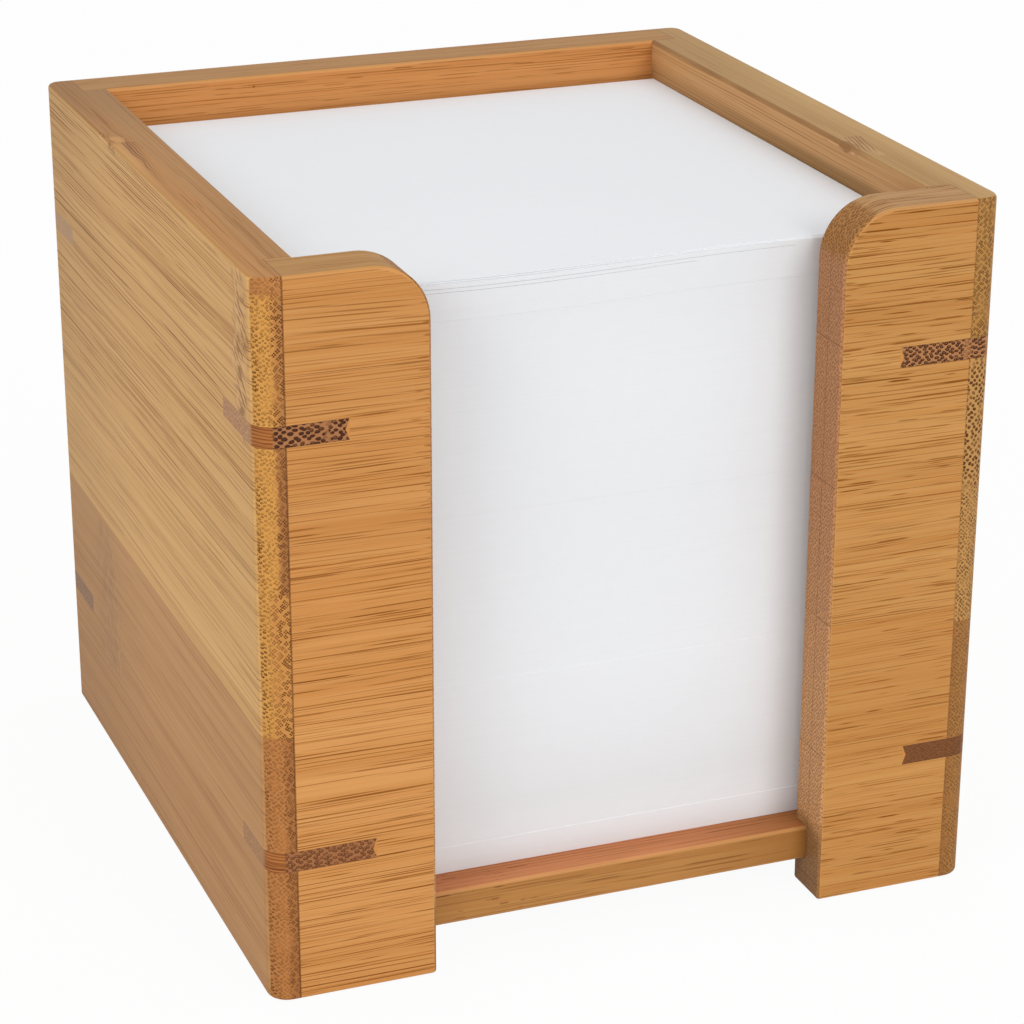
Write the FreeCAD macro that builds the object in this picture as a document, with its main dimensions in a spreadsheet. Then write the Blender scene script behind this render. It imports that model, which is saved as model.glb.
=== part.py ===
import FreeCAD, Part
import Sketcher
import os
import re

# Open-fronted desk box of laminated bamboo that holds loose note paper.
# Millimetres, +Z up, the open front at -Y, origin at the centre of the underside.
#
# Two side panels run the full depth. The back panel and the two front posts sit in rabbets at their
# ends, so a tongue of each side panel shows on the front and on the back. Glued keys lock the four
# corners, and the base plate is let into a groove all round. The glued-up box is then sanded to one
# form: rounded corners, rounded post tops and eased edges.

# ---------------------------------------------------------------- driving dimensions

DIMENSIONS = {
    # the note paper, which sets the inside of the box
    "note_width": 90.0,          # square sheets
    "note_thickness": 0.1,
    "play_across": 1.0,          # what the paper leaves free between the side panels
    "play_deep": 4.0,            # and between the posts and the back panel
    "side_gap": 0.2,             # the paper lies against the right side panel
    "stack_front_gap": 2.0,      # from the posts back to the stack
    "top_note_back_gap": 1.3,    # the top sheet has slid back on the stack
    "rim_over_paper": 6.0,       # from the top sheet up to the rim
    # the box
    "box_height": 104.0,
    "board_thickness": 8.0,      # two glued plies
    "tongue_thickness": 4.0,     # what the rabbet leaves of a side panel: its outer ply
    "front_corner_radius": 3.0,  # upright outer corners
    "back_corner_radius": 2.0,
    "edge_radius": 0.6,          # every other outside edge
    # the front posts
    "post_width": 20.0,          # from the tongue to the front gap
    "post_round": 8.0,           # inner top corner of a post
    # the base plate and its groove
    "base_gap": 4.7,             # from the underside of the walls to the plate
    "base_thickness": 5.3,
    "groove_depth": 3.6,
    "groove_end_play": 0.2,      # between the plate's edge and the bottom of the groove
    "groove_top_play": 0.1,      # above the plate
    # the corner keys
    "key_thickness": 3.0,
    "key_inset": 21.4,           # from the top or the underside to a key's middle
    "key_reach": 13.7,           # along each face, from the corner to the bottom of the slot
    "skew_front_left_upper": -1.1,   # what the slot's lean adds along the front or back face
    "skew_front_left_lower": 1.7,
    "skew_front_right_upper": 1.1,
    "skew_front_right_lower": -2.5,
    "skew_back_left_upper": 0.6,
    "skew_back_left_lower": -0.2,
    "skew_back_right_upper": 0.4,
    "skew_back_right_lower": -0.6,
}

# ---------------------------------------------------------------- formulas used by more than one piece

INSIDE_X = "((note_width + play_across) / 2)"
INSIDE_Y = "((note_width + play_deep) / 2)"
HALF_WIDTH = f"({INSIDE_X} + board_thickness)"
HALF_DEPTH = f"({INSIDE_Y} + board_thickness)"
JOINT_X = f"({HALF_WIDTH} - tongue_thickness)"
POST_END_X = f"({JOINT_X} - post_width)"
PLATE_REACH = "(groove_depth - groove_end_play)"
PLATE_TOP = "(base_gap + base_thickness)"
STACK_TOP = "(box_height - rim_over_paper - 2 * note_thickness)"
STACK_Y = f"(stack_front_gap - {INSIDE_Y})"
TOP_NOTE_Y = f"({INSIDE_Y} - top_note_back_gap - note_width)"
KEY_LEVEL = {
    "upper": "(box_height - key_inset - key_thickness / 2)",
    "lower": "(key_inset - key_thickness / 2)",
}
SIDE = {"left": "-1", "right": "1"}
END = {"front": "-1", "back": "1"}

doc = FreeCAD.newDocument("note_box")
sizes = doc.addObject("Spreadsheet::Sheet", "sizes")
for row, (alias, value) in enumerate(DIMENSIONS.items(), start=1):
    sizes.set(f"A{row}", alias)
    sizes.set(f"B{row}", str(value))
    sizes.setAlias(f"B{row}", alias)
doc.recompute()


# ---------------------------------------------------------------- helpers

def formula(text):
    """A formula of aliases, spelled with the sheet's name in front of each alias."""
    return re.sub(r"[a-z_]+", lambda word: "sizes." + word.group(), text)


def bind(item, prop, text):
    item.setExpression(prop, formula(text))


def new_body(label):
    body = doc.addObject("PartDesign::Body", label)
    body.Label = label
    return body


def rectangle(x_from, x_to, y_from, y_to):
    return [(x_from, y_from), (x_to, y_from), (x_to, y_to), (x_from, y_to)]


def outline(body, name, role, corners, lift="0"):
    """A closed sketch of straight edges on one of the body's origin planes, lifted along its normal."""
    sketch = body.newObject("Sketcher::SketchObject", name)
    plane = next(item for item in body.Origin.OriginFeatures if item.Role == role)
    sketch.AttachmentSupport = [(plane, "")]
    sketch.MapMode = "FlatFace"
    bind(sketch, "AttachmentOffset.Base.z", lift)
    count = len(corners)
    start = [FreeCAD.Vector(index, index * index, 0) for index in range(count)]
    for index in range(count):
        sketch.addGeometry(Part.LineSegment(start[index], start[(index + 1) % count]))
    for index in range(count):
        sketch.addConstraint(Sketcher.Constraint("Coincident", index, 2, (index + 1) % count, 1))
    for index, corner in enumerate(corners):
        for kind, value, text in zip(("DistanceX", "DistanceY"), start[index], corner):
            number = sketch.addConstraint(Sketcher.Constraint(kind, -1, 1, index, 1, value))
            sketch.renameConstraint(number, f"{kind}{index}")
            bind(sketch, f"Constraints.{kind}{index}", text)
    return sketch


def pad(body, name, sketch, length):
    feature = body.newObject("PartDesign::Pad", name)
    feature.Profile = sketch
    bind(feature, "Length", length)
    doc.recompute()
    return feature


def pocket(body, name, sketch, length, reverse=True):
    """Cuts along the sketch's normal, or against it where reverse is False."""
    before = body.Shape.Volume
    feature = body.newObject("PartDesign::Pocket", name)
    feature.Profile = sketch
    feature.Reversed = reverse
    bind(feature, "Length", length)
    doc.recompute()
    if not before - body.Shape.Volume > 0:
        raise RuntimeError(f"{body.Label}: {name} cuts nothing")
    return feature


def fillet(body, name, radius, wanted):
    """Rounds the edges of the body's last feature for which wanted(edge) is true."""
    base = body.Tip
    names = [f"Edge{number}" for number, edge in enumerate(base.Shape.Edges, start=1) if wanted(edge)]
    feature = body.newObject("PartDesign::Fillet", name)
    feature.Base = (base, names)
    bind(feature, "Radius", radius)
    doc.recompute()
    return feature


def same(first, second):
    return abs(first - second) < 0.001


def ends(edge, axis):
    """The coordinate of both ends of an edge along x, y or z."""
    return [getattr(vertex.Point, axis) for vertex in edge.Vertexes]


def lies_at(edge, axis, place):
    return all(same(coordinate, place) for coordinate in ends(edge, axis))


def runs_along(edge, axis):
    low, high = edge.Vertexes[0].Point, edge.Vertexes[-1].Point
    return all(same(getattr(low, other), getattr(high, other)) for other in "xyz" if other != axis)


def lies_at_corner(edge):
    """Upright edge where two outside walls meet."""
    half_width = (sizes.note_width + sizes.play_across) / 2 + sizes.board_thickness
    half_depth = (sizes.note_width + sizes.play_deep) / 2 + sizes.board_thickness
    return all(same(abs(x), half_width) for x in ends(edge, "x")) and all(
        same(abs(y), half_depth) for y in ends(edge, "y"))


# ---------------------------------------------------------------- the form the box is sanded to

def sanded_form():
    """The outside of the whole glued-up box, cut out where the paper and the fingers go."""
    body = new_body("sanded_form")
    around = outline(body, "around", "XY_Plane", rectangle(
        f"-{HALF_WIDTH}", HALF_WIDTH, f"-{HALF_DEPTH}", HALF_DEPTH))
    pad(body, "walls", around, "box_height")
    for end in END:
        fillet(body, f"{end}_corners", f"{end}_corner_radius", lambda edge: runs_along(edge, "z")
               and lies_at_corner(edge) and edge.Vertexes[0].Y * float(END[end]) > 0)
    well = outline(body, "well", "XY_Plane", rectangle(
        f"-{INSIDE_X}", INSIDE_X, f"-{INSIDE_Y}", INSIDE_Y))
    pocket(body, "paper_well", well, "box_height")
    gap = outline(body, "gap", "XZ_Plane", rectangle(
        f"-{POST_END_X}", POST_END_X, "0", "box_height"), lift=HALF_DEPTH)
    pocket(body, "front_gap", gap, "board_thickness", reverse=False)

    height = sizes.box_height
    post_end = (sizes.note_width + sizes.play_across) / 2
    post_end += sizes.board_thickness - sizes.tongue_thickness - sizes.post_width

    def post_top(edge):
        beside_gap = all(same(abs(place), post_end) for place in ends(edge, "x"))
        return runs_along(edge, "y") and beside_gap and lies_at(edge, "z", height)

    fillet(body, "post_tops", "post_round", post_top)

    def exposed(edge):
        """Rim, underside and both sides of the front gap; not the upright corners or seams."""
        if lies_at(edge, "z", height) or lies_at(edge, "z", 0):
            seam = runs_along(edge, "y") and all(
                same(abs(place), post_end + sizes.post_round) for place in ends(edge, "x"))
            return not seam
        beside_gap = all(abs(place) < post_end + sizes.post_round + 0.001 for place in ends(edge, "x"))
        in_front = all(place < 0 for place in ends(edge, "y"))
        return beside_gap and in_front and not runs_along(edge, "y")

    fillet(body, "eased_edges", "edge_radius", exposed)
    return body


# ---------------------------------------------------------------- key slots and keys

def key_triangle(end, side, level):
    """Seen from above: the corner of the box and where the slot's bottom meets both faces."""
    skew = f"skew_{end}_{side}_{level}"
    corner_x = f"{SIDE[side]} * {HALF_WIDTH}"
    corner_y = f"{END[end]} * {HALF_DEPTH}"
    along_face = f"{SIDE[side]} * ({HALF_WIDTH} - key_reach - {skew})"
    along_side = f"{END[end]} * ({HALF_DEPTH} - key_reach + {skew})"
    return [(corner_x, corner_y), (along_face, corner_y), (corner_x, along_side)]


def cut_key_slot(body, end, side, level):
    name = f"key_slot_{end}_{side}_{level}"
    sketch = outline(body, name + "_outline", "XY_Plane", key_triangle(end, side, level), KEY_LEVEL[level])
    pocket(body, name, sketch, "key_thickness")


# ---------------------------------------------------------------- boards before sanding

def board(label, corners):
    body = new_body(label)
    pad(body, "board", outline(body, "board_outline", "XY_Plane", corners), "box_height")
    return body


def cut_groove(body, corners):
    sketch = outline(body, "groove_outline", "XY_Plane", corners, "base_gap")
    pocket(body, "groove", sketch, "base_thickness + groove_top_play")


def side_board(side):
    """Full depth, rabbeted at both ends so that only the tongue is left there."""
    sign = SIDE[side]
    body = board(f"{side}_side_board", rectangle(
        f"{sign} * {HALF_WIDTH}", f"{sign} * {INSIDE_X}", f"-{HALF_DEPTH}", HALF_DEPTH))
    for end, toward in END.items():
        rabbet = outline(body, f"{end}_rabbet_outline", "XY_Plane", rectangle(
            f"{sign} * {INSIDE_X}", f"{sign} * {JOINT_X}",
            f"{toward} * {INSIDE_Y}", f"{toward} * {HALF_DEPTH}"))
        pocket(body, f"{end}_rabbet", rabbet, "box_height")
    cut_groove(body, rectangle(
        f"{sign} * {INSIDE_X}", f"{sign} * ({INSIDE_X} + groove_depth)", f"-{INSIDE_Y}", INSIDE_Y))
    for end in END:
        for level in KEY_LEVEL:
            cut_key_slot(body, end, side, level)
    return body


def back_board():
    body = board("back_board", rectangle(f"-{JOINT_X}", JOINT_X, INSIDE_Y, HALF_DEPTH))
    cut_groove(body, rectangle(f"-{JOINT_X}", JOINT_X, INSIDE_Y, f"{INSIDE_Y} + groove_depth"))
    for side in SIDE:
        for level in KEY_LEVEL:
            cut_key_slot(body, "back", side, level)
    return body


def post_board(side):
    sign = SIDE[side]
    body = board(f"{side}_post_board", rectangle(
        f"{sign} * {POST_END_X}", f"{sign} * {JOINT_X}", f"-{HALF_DEPTH}", f"-{INSIDE_Y}"))
    cut_groove(body, rectangle(
        f"{sign} * {POST_END_X}", f"{sign} * {JOINT_X}", f"-{INSIDE_Y} - groove_depth", f"-{INSIDE_Y}"))
    for level in KEY_LEVEL:
        cut_key_slot(body, "front", side, level)
    return body


def key_stick(end, side, level):
    """A key as it is glued in, before it is sanded flush."""
    body = new_body(f"{end}_{side}_{level}_key_stick")
    sketch = outline(body, "key_outline", "XY_Plane", key_triangle(end, side, level), KEY_LEVEL[level])
    pad(body, "key", sketch, "key_thickness")
    return body


# ---------------------------------------------------------------- finished pieces

def sand(stock, form, node):
    """What the sanded form leaves of one glued-in piece."""
    piece = doc.addObject("Part::Common", node)
    piece.Label = node
    piece.Base = stock
    piece.Tool = form
    return piece


def base_plate():
    """A plain plate whose front edge shows between the posts and is eased there."""
    body = new_body("base_plate")
    reach_x = f"({INSIDE_X} + {PLATE_REACH})"
    reach_y = f"({INSIDE_Y} + {PLATE_REACH})"
    sketch = outline(body, "plate_outline", "XY_Plane", rectangle(
        f"-{reach_x}", reach_x, f"-{reach_y}", reach_y), "base_gap")
    pad(body, "plate", sketch, "base_thickness")
    front = -(sizes.note_width + sizes.play_deep) / 2 - sizes.groove_depth + sizes.groove_end_play

    def front_edge(edge):
        return runs_along(edge, "x") and lies_at(edge, "y", front)

    fillet(body, "eased_front", "edge_radius", front_edge)
    return body


def paper(node, front, height, level):
    """A block or sheet of square note paper: the place of its front edge, its thickness and its level."""
    block = doc.addObject("Part::Box", node)
    block.Label = node
    bind(block, "Length", "note_width")
    bind(block, "Width", "note_width")
    bind(block, "Height", height)
    bind(block, "Placement.Base.x", f"{INSIDE_X} - side_gap - note_width")
    bind(block, "Placement.Base.y", front)
    bind(block, "Placement.Base.z", level)
    return block


form = sanded_form()
pieces = [sand(side_board(side), form, f"{side}_side_panel") for side in SIDE]
pieces.append(sand(back_board(), form, "back_panel"))
pieces += [sand(post_board(side), form, f"{side}_front_post") for side in SIDE]
pieces += [
    sand(key_stick(end, side, level), form, f"{end}_{side}_{level}_key")
    for end in END
    for side in SIDE
    for level in KEY_LEVEL
]
pieces.append(base_plate())
pieces.append(paper("note_paper_stack", STACK_Y, f"{STACK_TOP} - {PLATE_TOP}", PLATE_TOP))
pieces.append(paper("loose_second_note", f"({STACK_Y} + {TOP_NOTE_Y}) / 2", "note_thickness", STACK_TOP))
pieces.append(paper("loose_top_note", TOP_NOTE_Y, "note_thickness", f"{STACK_TOP} + note_thickness"))

# ---------------------------------------------------------------- check and write

doc.recompute()
for item in doc.Objects:
    if "Invalid" in item.State or "Error" in item.State:
        raise RuntimeError(f"{item.Label} failed: {item.State}")
for piece in pieces:
    if piece.Shape.isNull() or not piece.Shape.isValid() or len(piece.Shape.Solids) != 1:
        raise RuntimeError(f"{piece.Label} isn't one valid solid")

os.makedirs("parts", exist_ok=True)
for piece in pieces:
    piece.Shape.exportStep(f"parts/{piece.Label}.step")
    print(piece.Label, round(piece.Shape.Volume, 1), "mm3")
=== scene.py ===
from math import radians, sqrt

import bpy
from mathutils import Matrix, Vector


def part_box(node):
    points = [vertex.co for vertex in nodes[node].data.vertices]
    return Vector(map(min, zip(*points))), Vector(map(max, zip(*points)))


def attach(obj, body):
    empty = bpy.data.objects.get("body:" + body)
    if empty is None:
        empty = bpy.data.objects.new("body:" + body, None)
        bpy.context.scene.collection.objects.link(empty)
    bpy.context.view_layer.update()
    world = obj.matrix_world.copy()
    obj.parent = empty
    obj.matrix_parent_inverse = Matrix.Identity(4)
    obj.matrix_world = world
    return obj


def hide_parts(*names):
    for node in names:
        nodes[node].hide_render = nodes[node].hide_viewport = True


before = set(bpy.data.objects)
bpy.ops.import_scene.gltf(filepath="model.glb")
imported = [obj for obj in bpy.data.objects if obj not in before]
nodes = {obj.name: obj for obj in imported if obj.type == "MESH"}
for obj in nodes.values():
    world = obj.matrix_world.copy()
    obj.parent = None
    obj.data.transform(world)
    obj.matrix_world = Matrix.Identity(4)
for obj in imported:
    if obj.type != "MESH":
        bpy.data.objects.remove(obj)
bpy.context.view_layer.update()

mm = 0.001
print("frame loaded:", len(nodes), "nodes")

# where the boards lie, in mm, for the wood's pattern
sideFace = 53.5  # from the middle to the outer side faces
jointAt = 49.5  # to the joint between a side panel and the pieces in its rabbets
wellFace = 45.5  # to the inner faces of the side panels
topFace = 104.0
wellEnd = 47.0  # to the inner faces of the posts and the back panel
frontFace = -55.0
gapEdge = 29.5  # from the middle to the posts' edges at the front gap
stripWidth = 20.7  # the height of each strip in a board


# small tools for shader trees, where a value is a number, a colour or another node's socket

def tint(red, green, blue):
    # a colour as it looks on the screen, from 0 to 255, made linear
    def linear(level):
        level /= 255
        return level / 12.92 if level <= 0.04045 else ((level + 0.055) / 1.055) ** 2.4
    return (linear(red), linear(green), linear(blue), 1)


def feed(tree, socket, value):
    if isinstance(value, bpy.types.NodeSocket):
        tree.links.new(value, socket)
    else:
        socket.default_value = value


def addNode(tree, kind, inputs=None, **settings):
    node = tree.nodes.new("ShaderNode" + kind)
    for name, value in settings.items():
        setattr(node, name, value)
    for name, value in (inputs or {}).items():
        feed(tree, node.inputs[name], value)
    return node


def calc(tree, operation, *values, clamp=False):
    node = addNode(tree, "Math", operation=operation, use_clamp=clamp)
    for socket, value in zip(node.inputs, values):
        feed(tree, socket, value)
    return node.outputs[0]


def times(tree, first, second, clamp=False):
    return calc(tree, "MULTIPLY", first, second, clamp=clamp)


def timesPlus(tree, first, second, third, clamp=False):
    return calc(tree, "MULTIPLY_ADD", first, second, third, clamp=clamp)


def minus(tree, first, second):
    return calc(tree, "SUBTRACT", first, second)


def absolute(tree, value):
    return calc(tree, "ABSOLUTE", value)


def sway(tree, value, amount, level, clamp=False):
    # the level, moved by as much as value lies above or below a half
    return timesPlus(tree, minus(tree, value, 0.5), amount, level, clamp)


def calcVector(tree, operation, *values):
    node = addNode(tree, "VectorMath", operation=operation)
    for socket, value in zip(node.inputs, values):
        feed(tree, socket, value)
    return node.outputs["Value" if operation in ("DOT_PRODUCT", "LENGTH", "DISTANCE") else "Vector"]


def step(tree, value, start, end, low=0.0, high=1.0):
    # eases from low to high as value goes from start to end
    node = addNode(tree, "MapRange", {"Value": value, "From Min": start, "From Max": end,
                                      "To Min": low, "To Max": high},
                   interpolation_type="SMOOTHSTEP")
    return node.outputs[0]


def blend(tree, amount, first, second, how="MIX"):
    node = addNode(tree, "Mix", data_type="RGBA", blend_type=how, clamp_factor=True)
    for socket, value in zip((node.inputs[0], node.inputs[6], node.inputs[7]), (amount, first, second)):
        feed(tree, socket, value)
    return node.outputs[2]


def blendValue(tree, amount, first, second):
    node = addNode(tree, "Mix", data_type="FLOAT", clamp_factor=True)
    for socket, value in zip(node.inputs[:1] + node.inputs[2:4], (amount, first, second)):
        feed(tree, socket, value)
    return node.outputs[0]


def split(tree, vector):
    return addNode(tree, "SeparateXYZ", {"Vector": vector}).outputs


def join(tree, x, y, z):
    return addNode(tree, "CombineXYZ", {"X": x, "Y": y, "Z": z}).outputs[0]


def paint(tree, color, where, amount, over):
    return blend(tree, times(tree, where, amount), color, over)


def dim(tree, color, level):
    return blend(tree, 1.0, color, join(tree, level, level, level), "MULTIPLY")


def stretch(tree, vector, x, y, z):
    return calcVector(tree, "MULTIPLY", vector, (x, y, z))


def noise(tree, vector, detail=2.0, roughness=0.5):
    return addNode(tree, "TexNoise", {"Vector": vector, "Scale": 1.0, "Detail": detail,
                                      "Roughness": roughness}).outputs[0]


def cells(tree, vector, randomness=1.0, flat=False):
    return addNode(tree, "TexVoronoi", {"Vector": vector, "Scale": 1.0, "Randomness": randomness},
                   voronoi_dimensions="2D" if flat else "3D").outputs


def luckOf(tree, x, y, z):
    # three random numbers as one vector, the same for the same x, y and z
    return addNode(tree, "TexWhiteNoise", {"Vector": join(tree, x, y, z)}).outputs["Color"]


def newGroup(name, inputs, outputs):
    group = bpy.data.node_groups.new(name, "ShaderNodeTree")
    for label, kind, value in inputs:
        socket = group.interface.new_socket(label, in_out="INPUT", socket_type="NodeSocket" + kind)
        socket.default_value = value
    for label, kind in outputs:
        group.interface.new_socket(label, in_out="OUTPUT", socket_type="NodeSocket" + kind)
    return group, group.nodes.new("NodeGroupInput").outputs, group.nodes.new("NodeGroupOutput").inputs


def useGroup(tree, group, inputs):
    node = tree.nodes.new("ShaderNodeGroup")
    node.node_tree = group
    for name, value in inputs.items():
        feed(tree, node.inputs[name], value)
    return node.outputs


def newMaterial(name):
    material = bpy.data.materials.new(name)
    material.use_nodes = True
    tree = material.node_tree
    tree.nodes.clear()
    shader = addNode(tree, "BsdfPrincipled")
    out = addNode(tree, "OutputMaterial")
    tree.links.new(shader.outputs[0], out.inputs["Surface"])
    return material, tree, shader


def placeInMm(tree):
    # the point on the box in millimetres, and the way its surface faces
    where = addNode(tree, "TexCoord")
    return stretch(tree, where.outputs["Object"], 1 / mm, 1 / mm, 1 / mm), where.outputs["Normal"]


camera = {
    "place": (-0.15959, -0.41881, 0.22216),
    "turn": -20.93,  # degrees, to the left of the open front
    "tilt": 22.40,  # degrees, down
    "lens": 110.91,
    "shift": (0.0138, 0.0448),
}
bpy.ops.object.camera_add(location=camera["place"],
                          rotation=(radians(90 - camera["tilt"]), 0, radians(camera["turn"])))
view = bpy.context.object
view.data.lens = camera["lens"]
view.data.shift_x, view.data.shift_y = camera["shift"]
view.data.clip_start = 0.01
bpy.context.scene.camera = view

studio = {
    "room": 0.60,  # soft light from all round
    "lamps": [  # place, size in metres and strength of each soft box, all aimed at the box
        ("keyLight", (0.45, -1.5, 0.9), 0.8, 9.3),
        ("fillLight", (-1.3, -0.8, 1.0), 0.9, 7.0),
        ("topLight", (0.0, 0.3, 1.7), 1.2, 4.0),
    ],
    "aim": (0.0, 0.0, 0.05),
    "floorColor": tint(235, 235, 235),
    "floorWhite": 0.95,  # how far the floor is lifted to white, with the rest left for the shadow
}


def seenDirectly(tree):
    # 1 where the camera, a reflection or a view through glass meets the surface
    rays = addNode(tree, "LightPath").outputs
    seen = calc(tree, "ADD", rays["Is Camera Ray"], rays["Is Glossy Ray"])
    return calc(tree, "ADD", seen, rays["Is Transmission Ray"], clamp=True)


def makeStudio(values):
    bpy.ops.mesh.primitive_plane_add(size=8, location=(0, 0, -0.0002))
    floor = bpy.context.object
    floor.name = "floor"
    material, tree, shader = newMaterial("paleFloor")
    shader.inputs["Base Color"].default_value = values["floorColor"]
    shader.inputs["Roughness"].default_value = 0.9
    white = addNode(tree, "Emission", {"Color": (1, 1, 1, 1), "Strength": 1.0})
    mixed = addNode(tree, "MixShader", {0: times(tree, seenDirectly(tree), values["floorWhite"])})
    tree.links.new(shader.outputs[0], mixed.inputs[1])
    tree.links.new(white.outputs[0], mixed.inputs[2])
    tree.links.new(mixed.outputs[0], tree.nodes["Material Output"].inputs["Surface"])
    floor.data.materials.append(material)

    world = bpy.data.worlds.new("softRoom")
    world.use_nodes = True
    tree = world.node_tree
    tree.nodes.clear()
    light = blendValue(tree, seenDirectly(tree), values["room"], 1.0)
    background = addNode(tree, "Background", {"Color": (1, 1, 1, 1), "Strength": light})
    tree.links.new(background.outputs[0], addNode(tree, "OutputWorld").inputs["Surface"])
    bpy.context.scene.world = world

    for name, place, size, power in values["lamps"]:
        bpy.ops.object.light_add(type="AREA", location=place)
        lamp = bpy.context.object
        lamp.name = name
        lamp.data.shape = "DISK"
        lamp.data.size = size
        lamp.data.energy = power
        away = lamp.location - Vector(values["aim"])
        lamp.rotation_euler = away.to_track_quat("Z", "Y").to_euler()
    bpy.context.scene.view_settings.view_transform = "Standard"


makeStudio(studio)
print("camera and soft lights set")


# bamboo as solid wood: the dots on an end cut and the lines on a long face are the same bundles

def makeWoodGroup():
    group, given, made = newGroup("bambooWood", [
        ("Point", "Vector", (0, 0, 0)),  # mm: across the strip, through the ply, along the grain
        ("Row", "Float", 0.0),  # mm: across the lines, on the face in question
        ("End Cut", "Float", 0.0),
        ("Seed", "Float", 0.0),
        ("Strip Shift", "Float", 0.0),
        ("Strip Width", "Float", stripWidth),
        ("Ply Shift", "Float", 0.0),
        ("Ply Width", "Float", 4.0),
        ("Streak Reach", "Float", 0.06),  # small for long streaks
        ("Streak Amount", "Float", 0.8),
        ("Hair Amount", "Float", 0.7),
        ("Dash Often", "Float", 2.2),  # large for short dashes
        ("Dash Amount", "Float", 1.0),
        ("Pale", "Color", (1, 1, 1, 1)),
        ("Deep", "Color", (1, 1, 1, 1)),
        ("Streak", "Color", (0, 0, 0, 1)),
        ("End Pale", "Color", (1, 1, 1, 1)),
        ("End Deep", "Color", (1, 1, 1, 1)),
        ("Dot", "Color", (0, 0, 0, 1)),
        ("Dot Amount", "Float", 0.9),
        ("Dot Scale", "Float", 1.0),
        ("Dot Size", "Float", 0.42),
        ("Core", "Float", 0.35),  # how dark the core of a dot is, beside its rim
        ("Wall Shift", "Float", 0.0),  # towards 1 for the large bundles of the culm's inside
        ("Lobe Size", "Float", 0.20),
    ], [("Color", "Color"), ("Height", "Float"), ("Dark", "Float"), ("Glue", "Float")])
    tree = group
    across, through, along = split(tree, given["Point"])
    stripPlace = calc(tree, "DIVIDE", minus(tree, across, given["Strip Shift"]), given["Strip Width"])
    plyPlace = calc(tree, "DIVIDE", minus(tree, through, given["Ply Shift"]), given["Ply Width"])
    strip, ply = calc(tree, "FLOOR", stripPlace), calc(tree, "FLOOR", plyPlace)
    inStrip, inPly = calc(tree, "FRACT", stripPlace), calc(tree, "FRACT", plyPlace)
    chance = luckOf(tree, strip, ply, given["Seed"])
    point = calcVector(tree, "MULTIPLY_ADD", chance, (53.0, 47.0, 911.0), given["Point"])

    # tone: wide bands, then fibres
    reach = given["Streak Reach"]
    bands = noise(tree, stretch(tree, point, 0.35, 0.35, 0.004), 2.0, 0.6)
    drawn = calcVector(tree, "MULTIPLY", point, join(tree, 1.0, 1.0, reach))
    fibres = noise(tree, stretch(tree, drawn, 3.6, 3.6, 0.5), 1.0, 0.6)
    tone = sway(tree, bands, 1.4, 0.5)
    tone = sway(tree, fibres, 1.6, tone)
    tone = sway(tree, split(tree, chance)[1], 0.35, tone, clamp=True)
    long = blend(tree, tone, given["Pale"], given["Deep"])

    # dark bundles that lie side by side along the grain, each line coming and going by itself
    wander = noise(tree, stretch(tree, point, 0.12, 0.12, 0.012), 1.0)
    row = calc(tree, "ADD", given["Row"], times(tree, minus(tree, wander, 0.5), 2.4))
    length = times(tree, along, reach)

    def lines(pitch, often, low, high, width, number):
        # rows at the given pitch in mm: each line shows where its luck is above low, fully above high,
        # and width is half its own width out of the pitch
        place = calc(tree, "DIVIDE", row, pitch)
        which = calc(tree, "FLOOR", place)
        luck = luckOf(tree, which, calc(tree, "ADD", strip, number), given["Seed"])
        aside, start, strength = split(tree, luck)
        off = minus(tree, calc(tree, "FRACT", place), timesPlus(tree, aside, 0.5, 0.25))
        spot = join(tree, timesPlus(tree, start, 900.0, times(tree, length, often)),
                    times(tree, which, 3.7), given["Seed"])
        here = step(tree, noise(tree, spot, 1.0), low, high)
        half = times(tree, here, width)
        shape = times(tree, step(tree, absolute(tree, off), half, times(tree, half, 0.5)), here)
        return times(tree, shape, timesPlus(tree, strength, 0.6, 0.4))

    thin = lines(pitch=0.42, often=0.7, low=0.40, high=0.62, width=0.22, number=3.0)
    thick = lines(pitch=0.62, often=1.2, low=0.46, high=0.64, width=0.19, number=11.0)
    hairs = calc(tree, "MAXIMUM", thin, thick)
    dashes = lines(pitch=0.85, often=given["Dash Often"], low=0.50, high=0.66, width=0.16, number=23.0)
    most = times(tree, given["Streak Amount"], step(tree, bands, 0.34, 0.58, 0.6, 1.0))
    hairs = times(tree, times(tree, hairs, given["Hair Amount"]), most, clamp=True)
    dashes = times(tree, times(tree, dashes, given["Dash Amount"]), most, clamp=True)
    streaks = calc(tree, "MAXIMUM", hairs, dashes)
    long = blend(tree, hairs, long, blend(tree, 0.9, given["Deep"], given["Streak"]))
    long = blend(tree, dashes, long, given["Streak"])

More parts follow.
